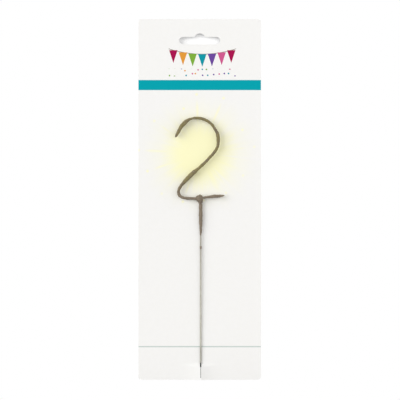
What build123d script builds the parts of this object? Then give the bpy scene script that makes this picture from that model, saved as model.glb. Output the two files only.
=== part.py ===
from build123d import *
import math
import os

# Number sparkler threaded into its hang card.
# Millimetres, +Z up the card, front towards -Y, the card's back face on y = 0,
# origin at the centre of the hang slot's peg arc.

# Card
CARD_WIDTH = 82.5
CARD_HEIGHT = 243.0
CARD_THICKNESS = 0.45
CARD_CORNER_RADIUS = 2.0

# Hang slot: a long slot with a shallow arc on top that centres it on a display peg
SLOT_WIDTH = 27.5
SLOT_HEIGHT = 4.9
PEG_RADIUS = 3.75
PEG_RISE = 2.4  # how far the peg arc stands above the slot
PEG_DROP = 9.7  # card top to the top of the peg arc
PEG_BLEND = 0.8  # fillet between the arc and the slot

# Threading hole and slit, with the two flaps that the stick lifts
HOLE_DROP = 231.4  # card top to the top of the threading hole
HOLE_LENGTH = 2.8
HOLE_SIDE_ROOM = 0.15  # between the wire and each side of the hole
HOLE_CORNER_RADIUS = 0.25
SLIT_WIDTH = 0.3
FLAP_WIDTH = 14.0
FLAP_RAMP_STEPS = 5
FLAP_ROOM = 0.12  # between the wire and the back of a flap
CARD_ROOM = 0.08  # between the sparkler and the front of the card

# Stick
WIRE_DIAMETER = 1.0
STICK_OFFSET = 0.65  # stick axis from the card's middle
STICK_REACH = 110.85  # foot bar down to the top of the threading hole
TAIL_LENGTH = 10.4  # stick behind the flaps
WIND_QUARTERS = 5  # quarter turns of the stick round the foot bar
WIND_GAP = 0.75  # between neighbouring turns
WIND_ROOM = 0.05  # between the turns and the foot bar

# Number, seen from the front, measured from where the stick crosses the foot bar
BOWL_RADIUS = 14.7
BOWL_OFFSET = -2.9
BOWL_HEIGHT = 39.05
ARM_START = 107.3  # degrees, where the upper arm leaves the bowl
ARM_RADIUS = 10.6
ARM_TURN = 47.0  # degrees
ARM_LENGTH = 5.9  # straight wire from that turn to the upper tip
DIAGONAL_SLOPE = 44.7
BEND_RADIUS = 4.6
FOOT_DIP = 2.7  # degrees, the left foot falls towards the stick
FOOT_RISE = 6.3  # degrees, the bar climbs from there past the stick
FOOT_REACH = 14.5
KINK_RADIUS = 5.0
KINK_LEAD = 0.6  # straight bar between the bead and the kink

# Dried coating
CRUST_DIAMETER = 1.75
CRUST_STEP = 1.6  # spacing of the sections that shape it
CRUST_FACETS = 16  # sides of each section
BORE_FACETS = 10  # sides of the buried wire, and of the bores round wires
TIP_COVER = 1.5  # coating past the end of a wire
TIP_RADIUS = 0.45
TIP_TAPER = 4.0
UPPER_SWELL = 0.58  # extra radius
UPPER_SWELL_AT = 10.9  # from the upper tip, along the wire
UPPER_SWELL_SPAN = 6.0  # half its length
LOWER_SWELL = 0.5
LOWER_SWELL_AT = 75.7
LOWER_SWELL_SPAN = 10.0
FOOT_CRUST_DIAMETER = 1.95
FOOT_WAIST = 0.15  # less radius beside the bead
FOOT_WAIST_LENGTH = 8.0
FOOT_TIP_TAPER = 9.0
FOOT_TIP_RADIUS = 0.3
BOND_ROOM = 0.02  # between a wire and its coating

# Bead over the winding, and the coating that runs down the stick
BEAD_LEFT = 3.1
BEAD_RIGHT = 1.9
BEAD_RADIUS = 2.25
BEAD_SHOULDER = 0.8
BEAD_SHOULDER_RADIUS = 1.8
BEAD_CROWN = 1.4  # length at full radius
NECK_START = 0.8
NECK_LENGTH = 3.0
NECK_RADIUS = 1.75
NECK_SHIFT = 0.4  # the neck's top leans to the left
STEM_DIAMETER = 2.5
STEM_LENGTH = 15.7  # foot bar to the shoulder
STEM_TAPER = 8.0
STEM_TIP_WALL = 0.1
DRIP_DROP = 33.55  # foot bar to a stray drop on the stick
DRIP_DIAMETER = 1.5
DRIP_LENGTH = 2.6

wire_radius = WIRE_DIAMETER / 2
bore_radius = wire_radius + BOND_ROOM
crust_radius = CRUST_DIAMETER / 2
stem_radius = STEM_DIAMETER / 2
wind_radius = WIRE_DIAMETER + WIND_ROOM
wind_pitch = WIRE_DIAMETER + WIND_GAP
card_top = PEG_DROP + PEG_RADIUS
card_bottom = card_top - CARD_HEIGHT
hole_top = card_top - HOLE_DROP
hole_width = WIRE_DIAMETER + 2 * HOLE_SIDE_ROOM

# The sparkler leans on the card at the top of the hole and at the stem's shoulder
lean = math.degrees(math.atan((stem_radius - wire_radius) / (STICK_REACH - STEM_LENGTH)))
stick_depth = CARD_THICKNESS + CARD_ROOM + wire_radius
flap_lift = stick_depth + wire_radius + FLAP_ROOM
sparkler_place = Pos(STICK_OFFSET, -stick_depth, hole_top) * Rot(lean, 0, 0) * Pos(0, 0, STICK_REACH)

# The number lies in front of the stick, and its foot bar climbs to the right through the joint
number_plane = Plane(origin=(0, -wind_radius, 0), x_dir=(1, 0, 0), z_dir=(0, -1, 0))
bar_turn = Rot(0, -FOOT_RISE, 0)


def hang_slot():
    slot_top = PEG_RADIUS - PEG_RISE
    slot_middle = slot_top - SLOT_HEIGHT / 2
    below = Pos(0, slot_middle - PEG_RADIUS) * Rectangle(4 * PEG_RADIUS, 2 * PEG_RADIUS)
    outline = Pos(0, slot_middle) * SlotOverall(SLOT_WIDTH, SLOT_HEIGHT) + (Circle(PEG_RADIUS) - below)
    corners = outline.vertices().filter_by(lambda v: abs(v.Y - slot_top) < 1e-6 and abs(v.X) < PEG_RADIUS)
    return fillet(corners, PEG_BLEND)


def flap_section(side, lift, height):
    inner = STICK_OFFSET + side * SLIT_WIDTH / 2
    outer = STICK_OFFSET + side * FLAP_WIDTH
    back = flap_edge((outer, 0), (inner, -lift), side)
    front = flap_edge((outer, -CARD_THICKNESS), (inner, -lift - CARD_THICKNESS), side)
    ends = Line(back @ 0, front @ 0) + Line(back @ 1, front @ 1)
    return Pos(0, 0, height) * make_face(back + front + ends)


def flap_edge(start, end, side):
    if start[1] == end[1]:
        return Line(start, end)
    return TangentArc(start, end, tangent=(-side, 0))


def flap(side):
    ramp_top = hole_top - HOLE_CORNER_RADIUS
    ramp_drop = HOLE_LENGTH - 2 * HOLE_CORNER_RADIUS
    sections = []
    for step in range(FLAP_RAMP_STEPS + 1):
        share = step / FLAP_RAMP_STEPS
        lift = flap_lift * share * share * (3 - 2 * share)
        sections.append(flap_section(side, lift, ramp_top - ramp_drop * share))
    sections.append(flap_section(side, flap_lift, card_bottom))
    return loft(sections, ruled=True)


def backing_card():
    sheet = RectangleRounded(CARD_WIDTH, CARD_HEIGHT, CARD_CORNER_RADIUS)
    sheet = Pos(0, (card_top + card_bottom) / 2) * sheet
    flap_height = hole_top - HOLE_CORNER_RADIUS - card_bottom
    flap_place = Pos(STICK_OFFSET, card_bottom + flap_height / 2)
    sheet -= flap_place * Rectangle(2 * FLAP_WIDTH, flap_height)
    sheet -= hang_slot()
    card = extrude(Plane.XZ * sheet, CARD_THICKNESS) + flap(-1) + flap(1)
    hole = Pos(STICK_OFFSET, hole_top - HOLE_LENGTH / 2)
    hole *= RectangleRounded(hole_width, HOLE_LENGTH, HOLE_CORNER_RADIUS)
    return card - extrude(Plane.XZ * hole, 2 * flap_lift, both=True)


def tube(path, section):
    return sweep(Plane(origin=path @ 0, z_dir=path % 0) * section, path=path)


def biarc(start, start_way, end, end_way):
    chord = end - start
    ways = start_way + end_way
    turn = 2 * (1 - start_way.dot(end_way))
    along = chord.dot(ways)
    reach = (math.sqrt(along * along + turn * chord.dot(chord)) - along) / turn
    before = start + start_way * reach
    after = end - end_way * reach
    middle = (before + after) * 0.5
    return TangentArc(start, middle, tangent=start_way) + TangentArc(middle, end, tangent=after - before)


def wind_point(quarter):
    angle = quarter * math.pi / 2
    across = -wind_pitch * quarter / 4
    point = Vector(across, wind_radius * (math.cos(angle) - 1), wind_radius * math.sin(angle))
    return point.rotate(Axis.Y, -FOOT_RISE)


def wind_way(quarter):
    if quarter == 0:
        return Vector(0, 0, 1)
    angle = quarter * math.pi / 2
    climb = -wind_pitch / (2 * math.pi * wind_radius)
    return Vector(climb, -math.sin(angle), math.cos(angle)).normalized().rotate(Axis.Y, -FOOT_RISE)


def stick_path():
    path = Line((0, 0, -STICK_REACH - TAIL_LENGTH), (0, 0, 0))
    for quarter in range(WIND_QUARTERS):
        path += biarc(wind_point(quarter), wind_way(quarter), wind_point(quarter + 1), wind_way(quarter + 1))
    return Wire(path.edges())


def winding_gap(path):
    half_turn = math.pi * wind_radius
    spacing = WIRE_DIAMETER / 10
    tail = STICK_REACH + TAIL_LENGTH - 2 * half_turn
    count = int((path.length - tail) / spacing)
    points = [path.position_at(tail + i * spacing, position_mode=PositionMode.LENGTH) for i in range(count)]
    apart = int(half_turn / spacing)
    pairs = [(i, j) for i in range(count) for j in range(i + apart, count)]
    return min((points[j] - points[i]).length for i, j in pairs) - WIRE_DIAMETER


def polar(middle, radius, angle):
    turned = math.radians(angle)
    return middle[0] + radius * math.cos(turned), middle[1] + radius * math.sin(turned)


def on_bar(reach):
    return polar((0, 0), reach, FOOT_RISE)


def upper_arm_and_bowl(cover):
    bowl_middle = (BOWL_OFFSET, BOWL_HEIGHT)
    turn_middle = polar(bowl_middle, BOWL_RADIUS - ARM_RADIUS, ARM_START)
    turn_start = ARM_START + ARM_TURN
    arm_foot = polar(turn_middle, ARM_RADIUS, turn_start)
    arm_tip = polar(arm_foot, ARM_LENGTH + cover, turn_start + 90)
    turn = CenterArc(turn_middle, ARM_RADIUS, turn_start, -ARM_TURN)
    bowl = CenterArc(bowl_middle, BOWL_RADIUS, ARM_START, DIAGONAL_SLOPE - 90 - ARM_START)
    return Line(arm_tip, arm_foot) + turn + bowl


def diagonal_and_foot(foot_end):
    slope = math.radians(DIAGONAL_SLOPE)
    dip = math.tan(math.radians(FOOT_DIP))
    kink = on_bar(-BEAD_LEFT - KINK_LEAD)
    bowl_end = polar((BOWL_OFFSET, BOWL_HEIGHT), BOWL_RADIUS, DIAGONAL_SLOPE - 90)
    drop = bowl_end[1] - kink[1] + (bowl_end[0] - kink[0]) * dip
    lower_left = polar(bowl_end, -drop / (math.sin(slope) + math.cos(slope) * dip), DIAGONAL_SLOPE)
    return FilletPolyline(bowl_end, lower_left, kink, on_bar(foot_end), radius=[BEND_RADIUS, KINK_RADIUS])


def number_path(cover, foot_end):
    return Wire((number_plane * (upper_arm_and_bowl(cover) + diagonal_and_foot(foot_end))).edges())


def hump(along, middle, half_span):
    share = (along - middle) / half_span
    return (1 - share * share) ** 2 if abs(share) < 1 else 0


def rounded_end(from_tip, taper, tip_radius, full_radius):
    share = max(0, 1 - from_tip / taper)
    return tip_radius + (full_radius - tip_radius) * math.sqrt(1 - share * share)


def crust_loft(path, radius_at, shift_at):
    count = round(path.length / CRUST_STEP)
    sections = []
    for i in range(count + 1):
        along = path.length * i / count
        way = path.tangent_at(along, position_mode=PositionMode.LENGTH)
        inwards = Vector(way.Z, 0, -way.X)
        middle = path.position_at(along, position_mode=PositionMode.LENGTH) + inwards * shift_at(along)
        section = RegularPolygon(radius_at(along), CRUST_FACETS)
        sections.append(Plane(origin=middle, x_dir=(0, 1, 0), z_dir=way) * section)
    return loft(sections, ruled=True)


def number_swell(along):
    upper = UPPER_SWELL * hump(along, UPPER_SWELL_AT, UPPER_SWELL_SPAN)
    return upper + LOWER_SWELL * hump(along, LOWER_SWELL_AT, LOWER_SWELL_SPAN)


def number_crust_radius(along):
    return rounded_end(along, TIP_TAPER, TIP_RADIUS, crust_radius) + number_swell(along)


def number_crust():
    return crust_loft(number_path(TIP_COVER, -BEAD_LEFT), number_crust_radius, number_swell)


def foot_crust_radius(along):
    from_tip = FOOT_REACH + TIP_COVER - BEAD_RIGHT - along
    waist = FOOT_WAIST * hump(along, 0, FOOT_WAIST_LENGTH)
    return rounded_end(from_tip, FOOT_TIP_TAPER, FOOT_TIP_RADIUS, FOOT_CRUST_DIAMETER / 2) - waist


def foot_crust():
    path = Wire((number_plane * Line(on_bar(BEAD_RIGHT), on_bar(FOOT_REACH + TIP_COVER))).edges())
    return crust_loft(path, foot_crust_radius, lambda along: 0)


def junction_bead():
    middle = (BEAD_RIGHT - BEAD_LEFT) / 2
    outline = Polyline((-BEAD_LEFT, 0), (-BEAD_LEFT, crust_radius),
                       (-BEAD_LEFT + BEAD_SHOULDER, BEAD_SHOULDER_RADIUS),
                       (middle - BEAD_CROWN / 2, BEAD_RADIUS), (middle + BEAD_CROWN / 2, BEAD_RADIUS),
                       (BEAD_RIGHT - BEAD_SHOULDER, BEAD_SHOULDER_RADIUS),
                       (BEAD_RIGHT, foot_crust_radius(0)), (BEAD_RIGHT, 0), close=True)
    profile = make_face(outline)
    bead = bar_turn * revolve(number_plane * profile, Axis((0, -wind_radius, 0), (1, 0, 0)))
    neck_top = Pos(-NECK_SHIFT, stem_radius - NECK_RADIUS, -NECK_START)
    neck_top *= RegularPolygon(NECK_RADIUS, CRUST_FACETS)
    neck_end = Pos(0, 0, -NECK_START - NECK_LENGTH) * RegularPolygon(stem_radius, CRUST_FACETS)
    return bead + loft([neck_top, neck_end], ruled=True)


def stem_crust():
    top = -NECK_START - NECK_LENGTH
    tip = -STEM_LENGTH - STEM_TAPER
    outline = Polyline((bore_radius, top), (stem_radius, top), (stem_radius, -STEM_LENGTH),
                       (bore_radius + STEM_TIP_WALL, tip), (bore_radius, tip), close=True)
    return revolve(Plane.XZ * make_face(outline), Axis.Z)


def stick_drip():
    half = DRIP_LENGTH / 2
    wall = bore_radius + STEM_TIP_WALL
    bulge = ThreePointArc((wall, half), (DRIP_DIAMETER / 2, 0), (wall, -half))
    inside = Polyline((wall, -half), (bore_radius, -half), (bore_radius, half), (wall, half))
    return Pos(0, 0, -DRIP_DROP) * revolve(Plane.XZ * make_face(bulge + inside), Axis.Z)


stick_line = stick_path()
number_line = number_path(0, FOOT_REACH)
bore_section = RegularPolygon(bore_radius, BORE_FACETS, major_radius=False)
stick_bore = tube(stick_line, bore_section)
number_bore = tube(number_line, bore_section)
wind_sleeve = bar_turn * Pos(BEAD_RIGHT, -wind_radius, 0) * Rot(0, -90, 0) * extrude(
    Circle(wire_radius + 2 * WIND_ROOM), BEAD_RIGHT + BEAD_LEFT)

nodes = {
    "backing_card": backing_card(),
    "stick": sparkler_place * tube(stick_line, Circle(wire_radius)),
    "number_wire": sparkler_place * tube(number_line, RegularPolygon(wire_radius, BORE_FACETS)),
    "number_crust": sparkler_place * (number_crust() - number_bore),
    "foot_crust": sparkler_place * (foot_crust() - number_bore),
    "junction_bead": sparkler_place * (junction_bead() - number_bore - stick_bore - wind_sleeve),
    "stem_crust": sparkler_place * stem_crust(),
    "stick_drip": sparkler_place * stick_drip(),
}

os.makedirs("parts", exist_ok=True)
for name, shape in nodes.items():
    export_step(shape, f"parts/{name}.step")

print(f"winding's least gap to itself {winding_gap(stick_line):.3f} mm, lean {lean:.3f} degrees")
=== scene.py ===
import math

import bpy
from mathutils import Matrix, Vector


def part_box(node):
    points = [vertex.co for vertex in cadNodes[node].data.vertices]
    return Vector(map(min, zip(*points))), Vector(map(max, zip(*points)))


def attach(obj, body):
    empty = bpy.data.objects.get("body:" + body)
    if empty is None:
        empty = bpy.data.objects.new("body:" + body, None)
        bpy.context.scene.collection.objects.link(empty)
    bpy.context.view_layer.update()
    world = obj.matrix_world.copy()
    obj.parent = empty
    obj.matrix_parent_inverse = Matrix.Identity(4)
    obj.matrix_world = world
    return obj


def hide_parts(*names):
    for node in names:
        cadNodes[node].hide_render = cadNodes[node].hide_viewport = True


# A number sparkler threaded into its hang card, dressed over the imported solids.
# The frame is in metres: x to the right, z up the card, the printed front towards -y.

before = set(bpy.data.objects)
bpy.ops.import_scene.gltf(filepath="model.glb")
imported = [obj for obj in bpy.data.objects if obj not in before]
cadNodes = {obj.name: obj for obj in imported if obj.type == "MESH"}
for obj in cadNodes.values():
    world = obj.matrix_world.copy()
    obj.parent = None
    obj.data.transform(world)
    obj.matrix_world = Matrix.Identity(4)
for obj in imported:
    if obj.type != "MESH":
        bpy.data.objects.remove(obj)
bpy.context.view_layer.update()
scene = bpy.context.scene
mm = 0.001
print("frame loaded with", len(cadNodes), "CAD nodes")


def toLinear(hexColour):
    channels = [int(hexColour[i:i + 2], 16) / 255 for i in (1, 3, 5)]
    return [c / 12.92 if c <= 0.04045 else ((c + 0.055) / 1.055) ** 2.4 for c in channels] + [1]


def addNode(tree, kind, inputs=None, **settings):  # a socket as an input is linked, a plain value is set
    node = tree.nodes.new("ShaderNode" + kind)
    for name, value in settings.items():
        setattr(node, name, value)
    for socket, value in (inputs or {}).items():
        if isinstance(value, bpy.types.NodeSocket):
            tree.links.new(value, node.inputs[socket])
        else:
            node.inputs[socket].default_value = value
    return node


def newMaterial(name):
    material = bpy.data.materials.new(name)
    material.use_nodes = True
    tree = material.node_tree
    return material, tree, tree.nodes["Principled BSDF"]


def placeInMm(tree):
    place = addNode(tree, "TexCoord")
    scaled = addNode(tree, "VectorMath", {0: place.outputs["Object"], 3: 1 / mm}, operation="SCALE")
    return place, scaled.outputs[0]


# Printed front of the card, in millimetres from the middle of the peg arc
cardPrint = {
    "paper": "#f7f6f4",
    "paperShade": "#f4f3f0",
    "mottle": 2.5,                # cloudiness of the coating
    "bandColour": "#09a2ae",
    "bandMiddle": -31.05,
    "bandHalf": 3.4,
    "ruleColour": "#c3cfc9",
    "ruleMiddle": -207.25,
    "ruleHalf": 0.36,
}

sparkBurst = {
    "colour": "#fdfacc",
    "middle": (-0.4, -0.45, -76.8),
    "coreHalf": (24.5, 24.5),     # half width and half height of the bright core
    "coreSolid": 0.45,            # share of the core that is full ink
    "coreReach": 1.4,             # where the core has faded out, in core sizes
    "haloReach": 1.8,             # paler glow
    "haloInk": 0.45,
    "ragged": 0.3,
    "tears": 6.0,                 # noise cells across the circle of directions
    "lane": (0.25, 0.75),         # a ray lies between these shares of its sector
    "tip": 0.35,                  # width of a ray's end, as a share
    "endFade": 6.0,               # millimetres
    "faintest": 0.35,             # share of a ray's ink
    "dotCore": 0.5,               # share of a dot that is full ink
    "rays": [
        {"count": 13, "shift": 0.31, "short": 29, "long": 39, "half": 1.7, "soft": 0.9,
         "dot": 1.2, "gap": 2.6, "ink": 0.95},
        {"count": 23, "shift": 0.77, "short": 24, "long": 33, "half": 1.0, "soft": 0.7,
         "dot": 0.0, "gap": 1.0, "ink": 0.8},
    ],
}

bunting = {
    "left": -21.0,
    "pitch": 6.5,
    "flags": 7,
    "string": -6.6,
    "sag": 3.6,
    "flagWidth": 5.7,
    "flagDrop": 8.6,
    "stringHalf": 0.22,
    "stringColour": "#8d8577",
    "colours": ["#a8174f", "#e39a3c", "#7fae3f", "#1496a6", "#6d4a9c", "#cf5a8e"],
    "confettiGrid": 3.6,
    "confettiRadius": 0.55,
    "confettiShare": 0.8,
    "confettiRandom": 0.75,
    "confettiMiddle": -22.6,
    "confettiHalf": 2.6,
}


def sparkInk(tree, place):
    look = sparkBurst
    arm = addNode(tree, "VectorMath", {0: place, 1: look["middle"]}, operation="SUBTRACT").outputs[0]
    way = addNode(tree, "VectorMath", {0: arm}, operation="NORMALIZE").outputs[0]
    reach = addNode(tree, "VectorMath", {0: arm}, operation="LENGTH").outputs["Value"]
    axes = addNode(tree, "SeparateXYZ", {0: arm})
    angle = addNode(tree, "Math", {0: axes.outputs["Z"], 1: axes.outputs["X"]},
                    operation="ARCTAN2").outputs[0]

    # glow behind the number, with a torn edge
    half = look["coreHalf"]
    oval = addNode(tree, "VectorMath", {0: arm, 1: (1 / half[0], 0, 1 / half[1])},
                   operation="MULTIPLY").outputs[0]
    spread = addNode(tree, "VectorMath", {0: oval}, operation="LENGTH").outputs["Value"]
    torn = addNode(tree, "TexNoise", {"Vector": way, "Scale": look["tears"], "Detail": 3.0,
                                      "Roughness": 0.65})
    torn = addNode(tree, "Math", {0: torn.outputs["Fac"], 1: 0.5}, operation="SUBTRACT").outputs[0]
    edge = addNode(tree, "Math", {0: torn, 1: look["ragged"] * 2, 2: spread},
                   operation="MULTIPLY_ADD").outputs[0]
    core = addNode(tree, "MapRange", {0: edge, 1: look["coreSolid"], 2: look["coreReach"], 3: 1.0, 4: 0.0},
                   interpolation_type="SMOOTHSTEP").outputs[0]
    halo = addNode(tree, "MapRange", {0: edge, 1: look["coreSolid"], 2: look["haloReach"],
                                      3: look["haloInk"], 4: 0.0}, interpolation_type="SMOOTHSTEP").outputs[0]
    ink = addNode(tree, "Math", {0: core, 1: halo}, operation="MAXIMUM").outputs[0]

    laneLow, laneHigh = look["lane"]
    for rays in look["rays"]:
        step = 2 * math.pi / rays["count"]
        turn = addNode(tree, "Math", {0: angle, 1: 1 / step, 2: rays["shift"]},
                       operation="MULTIPLY_ADD").outputs[0]
        cell = addNode(tree, "Math", {0: turn}, operation="FLOOR").outputs[0]
        share = addNode(tree, "Math", {0: turn}, operation="FRACT").outputs[0]
        dice = addNode(tree, "TexWhiteNoise", {"W": cell}, noise_dimensions="1D")
        tint = addNode(tree, "SeparateColor", {0: dice.outputs["Color"]})
        length = addNode(tree, "MapRange", {0: dice.outputs["Value"], 3: rays["short"],
                                            4: rays["long"]}).outputs[0]
        lane = addNode(tree, "MapRange", {0: tint.outputs["Red"], 3: laneLow, 4: laneHigh}).outputs[0]
        aside = addNode(tree, "Math", {0: share, 1: lane}, operation="SUBTRACT").outputs[0]
        aside = addNode(tree, "Math", {0: aside, 1: step}, operation="MULTIPLY").outputs[0]
        aside = addNode(tree, "Math", {0: aside, 1: reach}, operation="MULTIPLY").outputs[0]
        width = addNode(tree, "MapRange", {0: reach, 2: length, 3: rays["half"],
                                           4: rays["half"] * look["tip"]}).outputs[0]
        off = addNode(tree, "Math", {0: aside}, operation="ABSOLUTE").outputs[0]
        thin = addNode(tree, "Math", {0: width, 1: off}, operation="SUBTRACT").outputs[0]
        ray = addNode(tree, "MapRange", {0: thin, 1: -rays["soft"], 2: rays["soft"]}).outputs[0]
        past = addNode(tree, "Math", {0: length, 1: reach}, operation="SUBTRACT").outputs[0]
        ends = addNode(tree, "MapRange", {0: past, 1: 0.0, 2: look["endFade"]}).outputs[0]
        ray = addNode(tree, "Math", {0: ray, 1: ends}, operation="MULTIPLY").outputs[0]
        beyond = addNode(tree, "Math", {0: past, 1: rays["gap"]}, operation="ADD").outputs[0]
        spot = addNode(tree, "CombineXYZ", {0: aside, 1: beyond})
        spot = addNode(tree, "VectorMath", {0: spot.outputs[0]}, operation="LENGTH").outputs["Value"]
        dot = addNode(tree, "MapRange", {0: spot, 1: rays["dot"] * look["dotCore"], 2: rays["dot"],
                                         3: 1.0, 4: 0.0}).outputs[0]
        both = addNode(tree, "Math", {0: ray, 1: dot}, operation="MAXIMUM").outputs[0]
        fade = addNode(tree, "MapRange", {0: tint.outputs["Green"], 3: look["faintest"] * rays["ink"],
                                          4: rays["ink"]}).outputs[0]
        both = addNode(tree, "Math", {0: both, 1: fade}, operation="MULTIPLY").outputs[0]
        ink = addNode(tree, "Math", {0: ink, 1: both}, operation="MAXIMUM").outputs[0]
    return ink


def buntingInk(tree, place, paper):
    look = bunting
    axes = addNode(tree, "SeparateXYZ", {0: place})
    middle = look["left"] + look["pitch"] * look["flags"] / 2
    half = look["pitch"] * look["flags"] / 2
    turn = addNode(tree, "MapRange", {0: axes.outputs["X"], 1: look["left"], 2: look["left"] + look["pitch"]},
                   clamp=False).outputs[0]
    cell = addNode(tree, "Math", {0: turn}, operation="FLOOR").outputs[0]
    share = addNode(tree, "Math", {0: turn}, operation="FRACT").outputs[0]
    onString = addNode(tree, "Math", {0: axes.outputs["X"], 1: middle, 2: half},
                       operation="COMPARE").outputs[0]

    # the cord sags as a parabola, and each flag hangs from the cord at its own middle
    heights = []
    flagMiddle = addNode(tree, "MapRange", {0: cell, 1: -0.5, 2: look["flags"] - 0.5, 3: -1.0, 4: 1.0},
                         clamp=False).outputs[0]
    across = addNode(tree, "MapRange", {0: axes.outputs["X"], 1: middle, 2: middle + half},
                     clamp=False).outputs[0]
    for along in (flagMiddle, across):
        square = addNode(tree, "Math", {0: along, 1: along}, operation="MULTIPLY").outputs[0]
        height = addNode(tree, "MapRange", {0: square, 3: look["string"] - look["sag"], 4: look["string"]},
                         clamp=False).outputs[0]
        heights.append(height)
    below = addNode(tree, "Math", {0: heights[0], 1: axes.outputs["Z"]}, operation="SUBTRACT").outputs[0]
    room = addNode(tree, "MapRange", {0: below, 2: look["flagDrop"], 3: look["flagWidth"] / 2,
                                      4: 0.0}).outputs[0]
    side = addNode(tree, "Math", {0: share, 1: 0.5}, operation="SUBTRACT").outputs[0]
    side = addNode(tree, "Math", {0: side}, operation="ABSOLUTE").outputs[0]
    inside = addNode(tree, "Math", {0: side, 1: -look["pitch"], 2: room}, operation="MULTIPLY_ADD").outputs[0]
    flag = addNode(tree, "Math", {0: inside, 1: 0.0}, operation="GREATER_THAN").outputs[0]
    under = addNode(tree, "Math", {0: below, 1: 0.0}, operation="GREATER_THAN").outputs[0]
    flag = addNode(tree, "Math", {0: flag, 1: under}, operation="MULTIPLY").outputs[0]
    flag = addNode(tree, "Math", {0: flag, 1: onString}, operation="MULTIPLY").outputs[0]
    cord = addNode(tree, "Math", {0: axes.outputs["Z"], 1: heights[1], 2: look["stringHalf"]},
                   operation="COMPARE").outputs[0]
    cord = addNode(tree, "Math", {0: cord, 1: onString}, operation="MULTIPLY").outputs[0]

    # loose confetti under the flags
    flat = addNode(tree, "CombineXYZ", {0: axes.outputs["X"], 1: axes.outputs["Z"]})
    scatter = addNode(tree, "TexVoronoi", {"Vector": flat.outputs[0], "Scale": 1 / look["confettiGrid"],
                                           "Randomness": look["confettiRandom"]}, voronoi_dimensions="2D")
    radius = look["confettiRadius"] / look["confettiGrid"]
    dice = addNode(tree, "SeparateColor", {0: scatter.outputs["Color"]})
    piece = addNode(tree, "Math", {0: scatter.outputs["Distance"], 1: radius},
                    operation="LESS_THAN").outputs[0]
    kept = addNode(tree, "Math", {0: dice.outputs["Green"], 1: look["confettiShare"]},
                   operation="LESS_THAN").outputs[0]
    piece = addNode(tree, "Math", {0: piece, 1: kept}, operation="MULTIPLY").outputs[0]
    row = addNode(tree, "Math", {0: axes.outputs["Z"], 1: look["confettiMiddle"], 2: look["confettiHalf"]},
                  operation="COMPARE").outputs[0]
    piece = addNode(tree, "Math", {0: piece, 1: row}, operation="MULTIPLY").outputs[0]
    piece = addNode(tree, "Math", {0: piece, 1: onString}, operation="MULTIPLY").outputs[0]

    count = len(look["colours"])
    order = addNode(tree, "Math", {0: cell, 1: count}, operation="FLOORED_MODULO").outputs[0]
    order = addNode(tree, "MapRange", {0: order, 1: -0.5, 2: count - 0.5}).outputs[0]
    inks = []
    for pick in (order, dice.outputs["Red"]):
        palette = addNode(tree, "ValToRGB", {0: pick})
        palette.color_ramp.interpolation = "CONSTANT"
        stops = palette.color_ramp.elements
        stops.remove(stops[1])  # one stop is left, at 0
        for i, colour in enumerate(look["colours"]):
            stop = stops[0] if i == 0 else stops.new(i / count)
            stop.color = toLinear(colour)
        inks.append(palette.outputs["Color"])
    shade = addNode(tree, "Mix", {0: cord, 6: paper, 7: toLinear(look["stringColour"])},
                    data_type="RGBA").outputs[2]
    shade = addNode(tree, "Mix", {0: flag, 6: shade, 7: inks[0]}, data_type="RGBA").outputs[2]
    return addNode(tree, "Mix", {0: piece, 6: shade, 7: inks[1]}, data_type="RGBA").outputs[2]


# Coated folding board: a smooth clay coat on the printed front, a bare felted back, fibrous cut edges
boardFinish = {
    "backColour": "#eceae4",
    "backFleck": "#d9d5cb",
    "edgeColour": "#e9e5dc",
    "frontRough": (0.40, 0.52),
    "backRough": 0.85,
    "coatGrain": 0.35,      # millimetres
    "fibre": 0.9,
    "fleckRange": (0.52, 0.72),
    "facing": 0.5,          # a face whose normal has this share along y is front or back
    "bump": 0.012 * mm,
    "bumpStrength": 0.35,
    "ior": 1.5,
    "shine": 0.02,          # the coat is nearly matt
}


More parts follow.
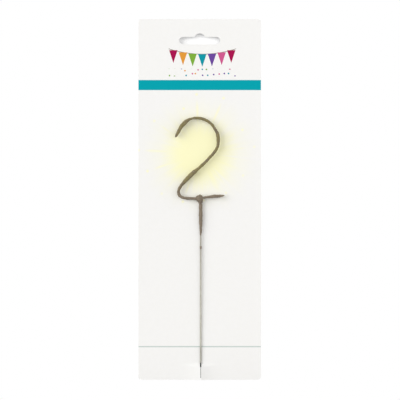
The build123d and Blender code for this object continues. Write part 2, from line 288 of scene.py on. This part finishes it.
def makeBoard():
    material, tree, shader = newMaterial("coatedFoldingBoard")
    place, spot = placeInMm(tree)
    axes = addNode(tree, "SeparateXYZ", {0: spot})
    facing = addNode(tree, "SeparateXYZ", {0: place.outputs["Normal"]})
    front = addNode(tree, "Math", {0: facing.outputs["Y"], 1: -boardFinish["facing"]},
                    operation="LESS_THAN").outputs[0]
    back = addNode(tree, "Math", {0: facing.outputs["Y"], 1: boardFinish["facing"]},
                   operation="GREATER_THAN").outputs[0]

    cloud = addNode(tree, "TexNoise", {"Vector": spot, "Scale": 1 / cardPrint["mottle"], "Detail": 4.0})
    shade = addNode(tree, "Mix", {0: cloud.outputs["Fac"], 6: toLinear(cardPrint["paper"]),
                                  7: toLinear(cardPrint["paperShade"])}, data_type="RGBA").outputs[2]
    shade = addNode(tree, "Mix", {0: sparkInk(tree, spot), 6: shade, 7: toLinear(sparkBurst["colour"])},
                    data_type="RGBA").outputs[2]
    shade = buntingInk(tree, spot, shade)
    for name in ("band", "rule"):
        stripe = addNode(tree, "Math", {0: axes.outputs["Z"], 1: cardPrint[name + "Middle"],
                                        2: cardPrint[name + "Half"]}, operation="COMPARE").outputs[0]
        shade = addNode(tree, "Mix", {0: stripe, 6: shade, 7: toLinear(cardPrint[name + "Colour"])},
                        data_type="RGBA").outputs[2]

    fibres = addNode(tree, "TexNoise", {"Vector": spot, "Scale": 1 / boardFinish["fibre"], "Detail": 6.0,
                                        "Roughness": 0.7, "Distortion": 1.2})
    low, high = boardFinish["fleckRange"]
    fleck = addNode(tree, "MapRange", {0: fibres.outputs["Fac"], 1: low, 2: high}).outputs[0]
    bare = addNode(tree, "Mix", {0: fleck, 6: toLinear(boardFinish["backColour"]),
                                 7: toLinear(boardFinish["backFleck"])}, data_type="RGBA").outputs[2]
    sides = addNode(tree, "Mix", {0: back, 6: toLinear(boardFinish["edgeColour"]), 7: bare},
                    data_type="RGBA").outputs[2]
    shade = addNode(tree, "Mix", {0: front, 6: sides, 7: shade}, data_type="RGBA").outputs[2]

    grain = addNode(tree, "TexNoise", {"Vector": spot, "Scale": 1 / boardFinish["coatGrain"], "Detail": 3.0})
    low, high = boardFinish["frontRough"]
    satin = addNode(tree, "MapRange", {0: grain.outputs["Fac"], 3: low, 4: high}).outputs[0]
    rough = addNode(tree, "Mix", {0: front, 2: boardFinish["backRough"], 3: satin}).outputs[0]
    depth = addNode(tree, "Mix", {0: front, 2: fibres.outputs["Fac"], 3: grain.outputs["Fac"]}).outputs[0]
    bump = addNode(tree, "Bump", {"Strength": boardFinish["bumpStrength"], "Distance": boardFinish["bump"],
                                  "Height": depth})
    tree.links.new(shade, shader.inputs["Base Color"])
    tree.links.new(rough, shader.inputs["Roughness"])
    tree.links.new(bump.outputs[0], shader.inputs["Normal"])
    shader.inputs["IOR"].default_value = boardFinish["ior"]
    shader.inputs["Specular IOR Level"].default_value = boardFinish["shine"]
    return material


# Drawn mild steel wire: grey metal with fine lines along the draw, filmed with mix under the coating's taper,
# with painted shade on its last stretch and a painted shadow, nearly black, from the hole to its end
wireFinish = {
    "clean": "#cdccc0",
    "bloom": "#b9b6a9",
    "film": "#857d70",
    "filmTo": -176.0,       # millimetres, in the same frame as the card's print
    "filmFrom": -131.0,
    "filmMost": 0.65,
    # colour of the painted shade and the painted shadow on the wire's lower end
    "tail": "#262422",
    "lowShadeFrom": -204.0,     # painted shade: the last stretch of the wire is a little darker
    "lowShadeTo": -209.0,
    "lowShadeMost": 0.2,
    # painted shadow: from the hole down, the wire is painted nearly black
    "tailFrom": -217.7,
    "tailTo": -218.2,
    "lineWidth": 0.12,      # millimetres, coarser than the die lines so that they show
    "lineLength": 9.0,
    "patch": 5.0,
    "wornRange": (0.16, 0.36),
    "rough": (0.28, 0.46),
    "bump": 0.01 * mm,
    "bumpStrength": 0.3,
}


def makeWire():
    material, tree, shader = newMaterial("drawnSteelWire")
    spot = placeInMm(tree)[1]
    narrow = 1 / wireFinish["lineWidth"]
    stretch = addNode(tree, "Mapping", {0: spot, "Scale": (narrow, narrow, 1 / wireFinish["lineLength"])})
    lines = addNode(tree, "TexNoise", {"Vector": stretch.outputs[0], "Scale": 1.0, "Detail": 3.0})
    patches = addNode(tree, "TexNoise", {"Vector": spot, "Scale": 1 / wireFinish["patch"], "Detail": 5.0})
    worn = addNode(tree, "Math", {0: lines.outputs["Fac"], 1: patches.outputs["Fac"]},
                   operation="MULTIPLY").outputs[0]
    low, high = wireFinish["wornRange"]
    bloom = addNode(tree, "MapRange", {0: worn, 1: low, 2: high}).outputs[0]
    shade = addNode(tree, "Mix", {0: bloom, 6: toLinear(wireFinish["clean"]),
                                  7: toLinear(wireFinish["bloom"])}, data_type="RGBA").outputs[2]
    axes = addNode(tree, "SeparateXYZ", {0: spot})
    film = addNode(tree, "MapRange", {0: axes.outputs["Z"], 1: wireFinish["filmTo"],
                                      2: wireFinish["filmFrom"], 4: wireFinish["filmMost"]}).outputs[0]
    shade = addNode(tree, "Mix", {0: film, 6: shade, 7: toLinear(wireFinish["film"])},
                    data_type="RGBA").outputs[2]
    # painted shade: the last stretch of the wire is mixed a little towards the dark colour
    paintedLowShade = addNode(tree, "MapRange", {0: axes.outputs["Z"], 1: wireFinish["lowShadeFrom"],
                                      2: wireFinish["lowShadeTo"], 4: wireFinish["lowShadeMost"]}).outputs[0]
    shade = addNode(tree, "Mix", {0: paintedLowShade, 6: shade, 7: toLinear(wireFinish["tail"])},
                    data_type="RGBA").outputs[2]
    # painted shadow: from the hole to its end the wire is painted nearly black, and is not metal there
    tail = addNode(tree, "MapRange", {0: axes.outputs["Z"], 1: wireFinish["tailFrom"],
                                      2: wireFinish["tailTo"]}).outputs[0]
    shade = addNode(tree, "Mix", {0: tail, 6: shade, 7: toLinear(wireFinish["tail"])},
                    data_type="RGBA").outputs[2]
    bare = addNode(tree, "Math", {0: film, 1: tail}, operation="MAXIMUM").outputs[0]
    bare = addNode(tree, "Math", {0: 1.0, 1: bare}, operation="SUBTRACT").outputs[0]
    low, high = wireFinish["rough"]
    rough = addNode(tree, "MapRange", {0: bloom, 3: low, 4: high}).outputs[0]
    bump = addNode(tree, "Bump", {"Strength": wireFinish["bumpStrength"], "Distance": wireFinish["bump"],
                                  "Height": lines.outputs["Fac"]})
    tree.links.new(shade, shader.inputs["Base Color"])
    tree.links.new(rough, shader.inputs["Roughness"])
    tree.links.new(bump.outputs[0], shader.inputs["Normal"])
    tree.links.new(bare, shader.inputs["Metallic"])
    return material


# Dried sparkler mix: a matt grey-brown paste of oxidiser and binder, full of grit and iron filings
mixFinish = {
    "body": "#857869",
    "damp": "#716559",
    "olive": "#857b54",
    "salt": "#968b76",
    "filing": "#a39d8e",
    "grit": 0.45,           # millimetres
    "cloud": 3.0,
    "dampRange": (0.42, 0.68),
    "dampMost": 0.8,
    "saltFrom": 0.7,        # grains whose draw, from 0 to 1, is above this are paler
    "saltMost": 0.6,
    "filingFrom": 0.985,    # and above this are bare iron
    "filingRough": 0.4,
    "oliveFrom": -106.0,    # the figure is more olive than the foot and the stem
    "oliveTo": -96.0,
    "rough": 0.9,
    "bump": 0.12 * mm,
    "bumpStrength": 0.7,
}


def makeMix():
    material, tree, shader = newMaterial("driedSparklerMix")
    spot = placeInMm(tree)[1]
    axes = addNode(tree, "SeparateXYZ", {0: spot})
    up = addNode(tree, "MapRange", {0: axes.outputs["Z"], 1: mixFinish["oliveFrom"], 2: mixFinish["oliveTo"],
                                    3: 0.0, 4: 1.0}).outputs[0]
    body = addNode(tree, "Mix", {0: up, 6: toLinear(mixFinish["body"]), 7: toLinear(mixFinish["olive"])},
                   data_type="RGBA").outputs[2]
    cloud = addNode(tree, "TexNoise", {"Vector": spot, "Scale": 1 / mixFinish["cloud"], "Detail": 4.0})
    low, high = mixFinish["dampRange"]
    damp = addNode(tree, "MapRange", {0: cloud.outputs["Fac"], 1: low, 2: high,
                                      4: mixFinish["dampMost"]}).outputs[0]
    shade = addNode(tree, "Mix", {0: damp, 6: body, 7: toLinear(mixFinish["damp"])},
                    data_type="RGBA").outputs[2]
    grains = addNode(tree, "TexVoronoi", {"Vector": spot, "Scale": 1 / mixFinish["grit"]})
    dice = addNode(tree, "SeparateColor", {0: grains.outputs["Color"]})
    salt = addNode(tree, "MapRange", {0: dice.outputs["Red"], 1: mixFinish["saltFrom"], 2: 1.0,
                                      4: mixFinish["saltMost"]}).outputs[0]
    shade = addNode(tree, "Mix", {0: salt, 6: shade, 7: toLinear(mixFinish["salt"])},
                    data_type="RGBA").outputs[2]
    filing = addNode(tree, "Math", {0: dice.outputs["Green"], 1: mixFinish["filingFrom"]},
                     operation="GREATER_THAN").outputs[0]
    shade = addNode(tree, "Mix", {0: filing, 6: shade, 7: toLinear(mixFinish["filing"])},
                    data_type="RGBA").outputs[2]
    rough = addNode(tree, "MapRange", {0: filing, 3: mixFinish["rough"],
                                       4: mixFinish["filingRough"]}).outputs[0]
    fine = addNode(tree, "TexNoise", {"Vector": spot, "Scale": 2 / mixFinish["grit"], "Detail": 5.0})
    depth = addNode(tree, "Math", {0: fine.outputs["Fac"], 1: grains.outputs["Distance"]},
                    operation="SUBTRACT")
    bump = addNode(tree, "Bump", {"Strength": mixFinish["bumpStrength"], "Distance": mixFinish["bump"],
                                  "Height": depth.outputs[0]})
    tree.links.new(shade, shader.inputs["Base Color"])
    tree.links.new(rough, shader.inputs["Roughness"])
    tree.links.new(filing, shader.inputs["Metallic"])
    tree.links.new(bump.outputs[0], shader.inputs["Normal"])
    return material


board = makeBoard()
wire = makeWire()
mix = makeMix()
for nodeName, material in (("backing_card", board), ("stick", wire), ("number_wire", wire)):
    slots = cadNodes[nodeName].data.materials
    slots.clear()
    slots.append(material)
print("materials made: board, wire, mix")


# Coating: each CAD solid is copied, remeshed fine and roughened with lumps and grit. All but the bent number
# have their bore filled, the stem's taper runs out thin, and the turns of the stick show through the lump
# that holds them.
coating = {
    "voxel": 0.13 * mm,
    "merge": 0.002 * mm,          # closes the loose triangles of a CAD mesh
    "smooth": 6,
    "smoothShare": 0.5,
    "lumpSize": 1.9 * mm,
    "lumpHeight": 0.42 * mm,
    "lumpDepth": 1,               # octaves
    "gritSize": 0.42 * mm,
    "gritHeight": 0.2 * mm,
    "gritDepth": 2,
    "turnsCut": -109.6 * mm,      # the turns are the part of the stick above this height
    "turnsCoat": 0.76 * mm,
    "lumpSink": 0.2 * mm,         # the lump lies this far under the turns' coat
    "collarTop": -107.9 * mm,     # the mix flares from the stem to the lump
    "collarFoot": -110.9 * mm,
    "collarRadii": (1.05 * mm, 2.0 * mm),
    "collarSides": 24,
    "collarShift": (-0.3 * mm, -0.8 * mm),  # towards the turns, and clear of the card
    "runOut": 1.5 * mm,           # the stem's end is drawn this far down the stick
    "runOutShare": 0.86,          # and to this share of its width
    "pieces": {
        "numberCoating": {"node": "number_crust", "swell": 0.06 * mm, "filled": False},
        "footCoating": {"node": "foot_crust", "swell": 0.06 * mm, "filled": True},
        "junctionLump": {"node": "junction_bead", "swell": -0.02 * mm, "filled": True},
        "stemCoating": {"node": "stem_crust", "swell": -0.05 * mm, "filled": True},
        "strayDrop": {"node": "stick_drip", "swell": -0.14 * mm, "filled": True},
    },
}

# Places where the mix ran together, drained thin or set off the wire's line, in millimetres: each has
# a middle (x, z) and fades out over its reach
unevenPlaces = {
    "numberCoating": [
        {"at": (-14.4, -62.4), "reach": 4.6, "swell": 0.21, "shift": (0.22, -0.11)},
        {"at": (-8.9, -55.1), "reach": 3.0, "swell": 0.06, "shift": (0.08, -0.14)},
        {"at": (-5.4, -53.7), "reach": 2.6, "swell": -0.1, "shift": (0.02, -0.1)},
        {"at": (10.1, -60.2), "reach": 3.5, "swell": 0.06, "shift": (-0.25, -0.16)},
        {"at": (12.4, -66.5), "reach": 7.5, "swell": 0.22, "shift": (0.0, 0.0)},
        {"at": (11.8, -72.4), "reach": 4.0, "swell": 0.1, "shift": (0.24, -0.08)},
        {"at": (4.4, -82.2), "reach": 4.5, "swell": 0.04, "shift": (0.18, -0.18)},
        {"at": (1.0, -85.5), "reach": 4.0, "swell": 0.1, "shift": (0.08, -0.08)},
        {"at": (-3.7, -90.2), "reach": 2.8, "swell": 0.28, "shift": (0.0, 0.0)},
        {"at": (-6.8, -93.2), "reach": 2.6, "swell": -0.12, "shift": (0.1, -0.1)},
        {"at": (-13.9, -100.8), "reach": 3.2, "swell": 0.14, "shift": (0.2, -0.07)},
        {"at": (-13.5, -105.1), "reach": 3.0, "swell": 0.18, "shift": (-0.2, -0.13)},
    ],
    "footCoating": [
        {"at": (4.6, -106.7), "reach": 4.2, "swell": -0.24, "shift": (0.0, 0.1)},
        {"at": (10.0, -106.1), "reach": 3.5, "swell": 0.07, "shift": (0.0, 0.18)},
        {"at": (14.3, -105.6), "reach": 3.0, "swell": 0.0, "shift": (0.0, -0.12)},
    ],
    "junctionLump": [
        {"at": (-2.8, -105.0), "reach": 2.2, "swell": -0.45, "shift": (0.15, -0.2)},
        {"at": (0.2, -104.9), "reach": 1.8, "swell": 0.12, "shift": (0.0, 0.05)},
        {"at": (2.6, -105.2), "reach": 1.4, "swell": -0.2, "shift": (0.0, 0.0)},
        {"at": (-1.9, -109.2), "reach": 1.7, "swell": 0.25, "shift": (0.0, 0.0)},
    ],
}


def applyModifier(piece, kind, **settings):
    modifier = piece.modifiers.new(kind.lower(), kind)
    for name, value in settings.items():
        setattr(modifier, name, value)
    bpy.ops.object.modifier_apply(modifier=modifier.name)


def roughTexture(name, size, depth):
    texture = bpy.data.textures.new(name, "CLOUDS")
    texture.noise_scale = size
    texture.noise_depth = depth
    return texture


def copyNode(name, nodeName):  # left active, in edit mode, with all of its mesh selected
    piece = bpy.data.objects.new(name, cadNodes[nodeName].data.copy())
    scene.collection.objects.link(piece)
    bpy.ops.object.select_all(action="DESELECT")
    piece.select_set(True)
    bpy.context.view_layer.objects.active = piece
    bpy.ops.object.mode_set(mode="EDIT")
    bpy.ops.mesh.select_all(action="SELECT")
    bpy.ops.mesh.remove_doubles(threshold=coating["merge"])
    return piece


def joinTurns(lump):
    applyModifier(lump, "DISPLACE", strength=-coating["lumpSink"], mid_level=0.0)
    turns = copyNode("turns", "stick")
    bpy.ops.mesh.bisect(plane_co=(0, 0, coating["turnsCut"]), plane_no=(0, 0, 1), use_fill=True,
                        clear_inner=True)
    bpy.ops.object.mode_set(mode="OBJECT")
    applyModifier(turns, "DISPLACE", strength=coating["turnsCoat"], mid_level=0.0)
    top, foot = coating["collarTop"], coating["collarFoot"]
    stemLow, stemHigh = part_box("stem_crust")
    place = (stemLow + stemHigh) / 2 + Vector((*coating["collarShift"], 0))
    place.z = (top + foot) / 2
    narrow, wide = coating["collarRadii"]
    bpy.ops.mesh.primitive_cone_add(vertices=coating["collarSides"], radius1=narrow, radius2=wide,
                                    depth=top - foot, location=place)
    turns.select_set(True)
    lump.select_set(True)
    bpy.context.view_layer.objects.active = lump
    bpy.ops.object.join()


def drawOut(stem):
    bpy.ops.object.mode_set(mode="EDIT")
    bpy.ops.mesh.select_all(action="DESELECT")
    bpy.ops.object.mode_set(mode="OBJECT")
    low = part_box("stem_crust")[0].z
    for vertex in stem.data.vertices:
        vertex.select = vertex.co.z < low + coating["voxel"]
    ends = [vertex.co for vertex in stem.data.vertices if vertex.select]
    middle = sum(ends, Vector()) / len(ends)
    bpy.ops.object.mode_set(mode="EDIT")
    share = coating["runOutShare"]
    bpy.ops.transform.resize(value=(share, share, 1), center_override=middle)
    bpy.ops.transform.translate(value=(0, 0, -coating["runOut"]))
    bpy.ops.object.mode_set(mode="OBJECT")


def makeUneven(piece, places):  # swells or thins the mix along its normals and shifts it in the card's plane
    pushes = []
    for vertex in piece.data.vertices:
        push = Vector()
        for place in places:
            away = math.hypot(vertex.co.x / mm - place["at"][0], vertex.co.z / mm - place["at"][1])
            fade = max(0, 1 - (away / place["reach"]) ** 2) ** 2
            shift = Vector((place["shift"][0], 0, place["shift"][1]))
            push += (vertex.normal * place["swell"] + shift) * fade
        pushes.append(push * mm)
    for vertex, push in zip(piece.data.vertices, pushes):
        vertex.co += push
    piece.data.update()


lumps = roughTexture("lumps", coating["lumpSize"], coating["lumpDepth"])
grit = roughTexture("grit", coating["gritSize"], coating["gritDepth"])
for pieceName, look in coating["pieces"].items():
    piece = copyNode(pieceName, look["node"])
    if look["filled"]:
        bpy.ops.mesh.convex_hull()
    bpy.ops.object.mode_set(mode="OBJECT")
    if pieceName == "stemCoating":
        drawOut(piece)
    if pieceName == "junctionLump":
        joinTurns(piece)
    applyModifier(piece, "REMESH", mode="VOXEL", voxel_size=coating["voxel"])
    applyModifier(piece, "SMOOTH", factor=coating["smoothShare"], iterations=coating["smooth"])
    applyModifier(piece, "DISPLACE", strength=look["swell"], mid_level=0.0)
    makeUneven(piece, unevenPlaces.get(pieceName, []))
    applyModifier(piece, "DISPLACE", texture=lumps, texture_coords="LOCAL", strength=coating["lumpHeight"])
    applyModifier(piece, "DISPLACE", texture=grit, texture_coords="LOCAL", strength=coating["gritHeight"])
    bpy.ops.object.shade_smooth()
    piece.data.materials.clear()
    piece.data.materials.append(mix)
    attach(piece, "sparkler")
    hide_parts(look["node"])
    print("coating", pieceName, len(piece.data.polygons), "faces")


# Stage: pale floor under the hanging card, a white sheet close behind its slot, and soft light from the front
# and the upper left
stageSetup = {
    "floorDrop": 70 * mm,
    "floorSize": 0.7,
    "floorColour": "#f4f4f4",
    "sheetGap": 3.2 * mm,
    "sheetSize": (37 * mm, 16 * mm),
    "sheetColour": "#ffffff",
    "sheetGlow": 0.27,
    "shadeShift": 0.5 * mm,     # just over the card's thickness
    "shadeColour": "#000000",
    "skyLight": 0.2,
    # share of full light on a surface that faces the lamp's side, spread in degrees, and way
    "lamps": {
        "frontLight": {"share": 0.19, "spread": 40, "way": (0.0, 1.0, -0.1)},
        "keyLight": {"share": 0.41, "spread": 50, "way": (1.35, 1.0, -0.35)},
        "fillLight": {"share": 0.22, "spread": 80, "way": (-1.4, 1.0, -0.15)},
        "backLight": {"share": 0.75, "spread": 60, "way": (-0.5, -1.0, -0.8)},
    },
}


def stagePaper(thing, colour):
    material, tree, shader = newMaterial(thing.name + "Paper")
    shader.inputs["Base Color"].default_value = toLinear(colour)
    shader.inputs["Roughness"].default_value = 1.0
    shader.inputs["Specular IOR Level"].default_value = 0.0
    thing.data.materials.clear()
    thing.data.materials.append(material)
    # see-through from its back, so that it hides nothing
    behind = addNode(tree, "NewGeometry").outputs["Backfacing"]
    empty = addNode(tree, "BsdfTransparent").outputs[0]
    oneSided = addNode(tree, "MixShader", {0: behind, 1: shader.outputs[0], 2: empty})
    tree.links.new(oneSided.outputs[0], tree.nodes["Material Output"].inputs["Surface"])
    return shader


def addPlane(name, size, place, turn):
    bpy.ops.object.select_all(action="DESELECT")
    bpy.ops.mesh.primitive_plane_add(size=1, location=place, rotation=turn)
    plane = bpy.context.object
    plane.name = name
    plane.scale = (size[0], size[1], 1)
    bpy.ops.object.transform_apply(location=True, rotation=True, scale=True)
    return plane


cardLow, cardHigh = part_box("backing_card")
floorHeight = cardLow.z - stageSetup["floorDrop"]
floorSize = stageSetup["floorSize"]
floor = addPlane("floor", (floorSize, floorSize), (0, 0, floorHeight), (0, 0, 0))
floor.visible_diffuse = False  # no light thrown up at the card
stagePaper(floor, stageSetup["floorColour"])

sheetPlace = (0, cardHigh.y + stageSetup["sheetGap"], 0)
sheet = addPlane("sheet", stageSetup["sheetSize"], sheetPlace, (math.pi / 2, 0, 0))
shader = stagePaper(sheet, stageSetup["sheetColour"])
shader.inputs["Emission Color"].default_value = toLinear(stageSetup["sheetColour"])
shader.inputs["Emission Strength"].default_value = stageSetup["sheetGlow"]
sheet.visible_diffuse = sheet.visible_glossy = sheet.visible_shadow = False

# a black copy of the card that only bounced light meets keeps the card's lit back from brightening the sheet
shade = copyNode("shade", "backing_card")
bpy.ops.transform.translate(value=(0, stageSetup["shadeShift"], 0))
bpy.ops.object.mode_set(mode="OBJECT")
stagePaper(shade, stageSetup["shadeColour"])
shade.visible_camera = shade.visible_glossy = shade.visible_transmission = shade.visible_shadow = False

for lampName, look in stageSetup["lamps"].items():
    light = bpy.data.lights.new(lampName, "SUN")
    way = Vector(look["way"]).normalized()
    light.energy = look["share"] * math.pi / abs(way.y)
    light.angle = math.radians(look["spread"])
    lamp = bpy.data.objects.new(lampName, light)
    lamp.rotation_euler = way.to_track_quat("-Z", "Y").to_euler()
    lamp.visible_glossy = False  # the wire mirrors the white surroundings and not the lamps
    scene.collection.objects.link(lamp)

world = bpy.data.worlds.new("studio")
scene.world = world
world.use_nodes = True
sky = world.node_tree
seen = addNode(sky, "LightPath")
clear = addNode(sky, "Math", {0: seen.outputs["Is Camera Ray"], 1: seen.outputs["Is Glossy Ray"]},
                operation="MAXIMUM")
clear = addNode(sky, "Math", {0: clear.outputs[0], 1: seen.outputs["Is Transmission Ray"]},
                operation="MAXIMUM")
level = addNode(sky, "MapRange", {0: clear.outputs[0], 3: stageSetup["skyLight"], 4: 1.0})
sky.links.new(level.outputs[0], sky.nodes["Background"].inputs["Strength"])
sky.nodes["Background"].inputs["Color"].default_value = (1, 1, 1, 1)

# Camera: straight on, a long lens, 269.4 mm of the card's plane across the square picture
cameraSetup = {
    "lens": 150,
    "across": 269.4 * mm,
    "middle": (0.2 * mm, -108.45 * mm),
    "cardFront": -0.45 * mm,
}
eye = bpy.data.cameras.new("eye")
eye.lens = cameraSetup["lens"]
camera = bpy.data.objects.new("eye", eye)
distance = cameraSetup["across"] * eye.lens / eye.sensor_width
middle = cameraSetup["middle"]
camera.location = (middle[0], cameraSetup["cardFront"] - distance, middle[1])
camera.rotation_euler = (math.pi / 2, 0, 0)
scene.collection.objects.link(camera)
scene.camera = camera
scene.view_settings.view_transform = "Standard"
print("stage, lights and camera set")
